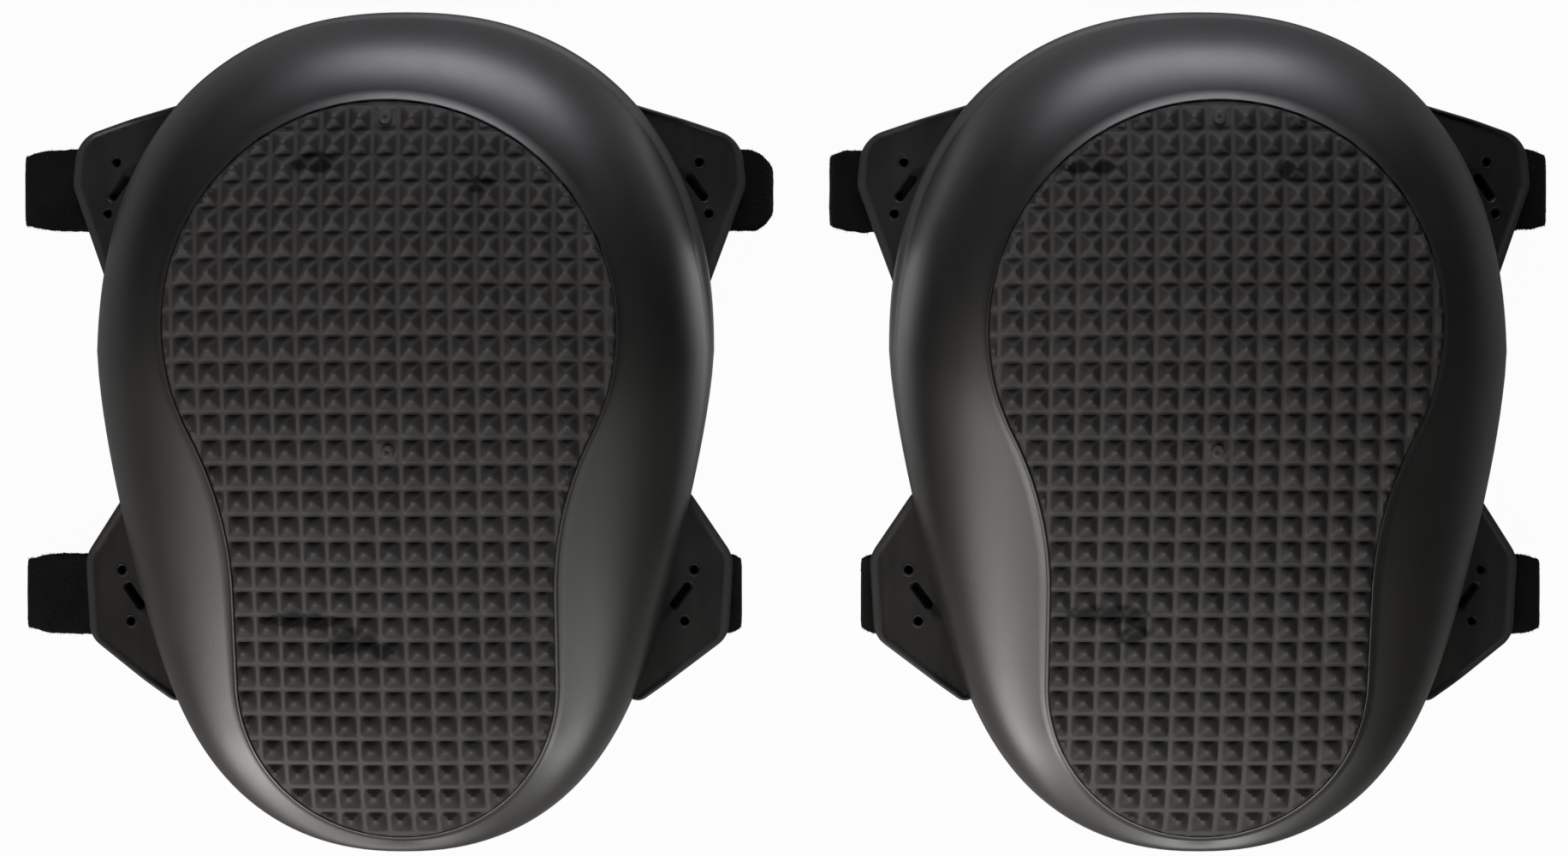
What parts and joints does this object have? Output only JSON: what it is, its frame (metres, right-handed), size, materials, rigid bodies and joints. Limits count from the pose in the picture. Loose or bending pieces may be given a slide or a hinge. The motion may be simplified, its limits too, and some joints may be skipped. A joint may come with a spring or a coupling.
{
  "type": "knee pads",
  "caption": "Pair of hard-cap knee pads with studded treads, foam cushions and riveted leg straps that close with hook and loop.",
  "frame": {"origin": "centre of the pair on the surface that it lies on", "axes": "+X across the pair to the right pad, +Y up the leg, +Z out of the knee through the treads"},
  "size_m": [0.4554, 0.2474, 0.0832],
  "materials": {
    "cap": "satin moulded black",
    "tread": "matt black studded rubber",
    "foam": "closed-cell foam, dark grey",
    "lining": "brushed knit",
    "ear": "matt flexible black plastic",
    "strap": "looped elastic webbing",
    "hook": "moulded hook tape",
    "rivet": "blackened tubular rivets"
  },
  "bodies": {
    "left_pad": {"left_cap": "cap", "left_tread": "tread", "left_foam_cushion": "foam", "left_lining": "lining", "left_rivets": "rivet", "left_rivet_washers": "rivet", "left_upper_outer_ear": "ear", "left_upper_inner_ear": "ear", "left_upper_strap_anchor": "strap", "left_upper_tab": "strap", "left_upper_hook_patch": "hook", "left_lower_outer_ear": "ear", "left_lower_inner_ear": "ear", "left_lower_strap_anchor": "strap", "left_lower_tab": "strap", "left_lower_hook_patch": "hook"},
    "left_upper_strap": {"left_upper_strap": "strap"},
    "left_lower_strap": {"left_lower_strap": "strap"},
    "right_pad": {"right_cap": "cap", "right_tread": "tread", "right_foam_cushion": "foam", "right_lining": "lining", "right_rivets": "rivet", "right_rivet_washers": "rivet", "right_upper_outer_ear": "ear", "right_upper_inner_ear": "ear", "right_upper_strap_anchor": "strap", "right_upper_tab": "strap", "right_upper_hook_patch": "hook", "right_lower_outer_ear": "ear", "right_lower_inner_ear": "ear", "right_lower_strap_anchor": "strap", "right_lower_tab": "strap", "right_lower_hook_patch": "hook"},
    "right_upper_strap": {"right_upper_strap": "strap"},
    "right_lower_strap": {"right_lower_strap": "strap"}
  },
  "joints": [
    {"name": "right_pad_apart", "type": "slide", "parent": "left_pad", "child": "right_pad", "axis": [1, 0, 0], "range_m": [0, 0.2]},
    {"name": "left_upper_strap_swing", "type": "hinge", "parent": "left_pad", "child": "left_upper_strap", "pos_m": [-0.01112, 0.072, 0.0008], "axis": [0, -1, 0], "range_deg": [0, 95]},
    {"name": "left_lower_strap_swing", "type": "hinge", "parent": "left_pad", "child": "left_lower_strap", "pos_m": [-0.02136, -0.0485, 0.0008], "axis": [0, -1, 0], "range_deg": [0, 95]},
    {"name": "right_upper_strap_swing", "type": "hinge", "parent": "right_pad", "child": "right_upper_strap", "pos_m": [0.0209, 0.072, 0.0008], "axis": [0, 1, 0], "range_deg": [0, 95]},
    {"name": "right_lower_strap_swing", "type": "hinge", "parent": "right_pad", "child": "right_lower_strap", "pos_m": [0.03114, -0.0485, 0.0008], "axis": [0, 1, 0], "range_deg": [0, 95]}
  ]
}
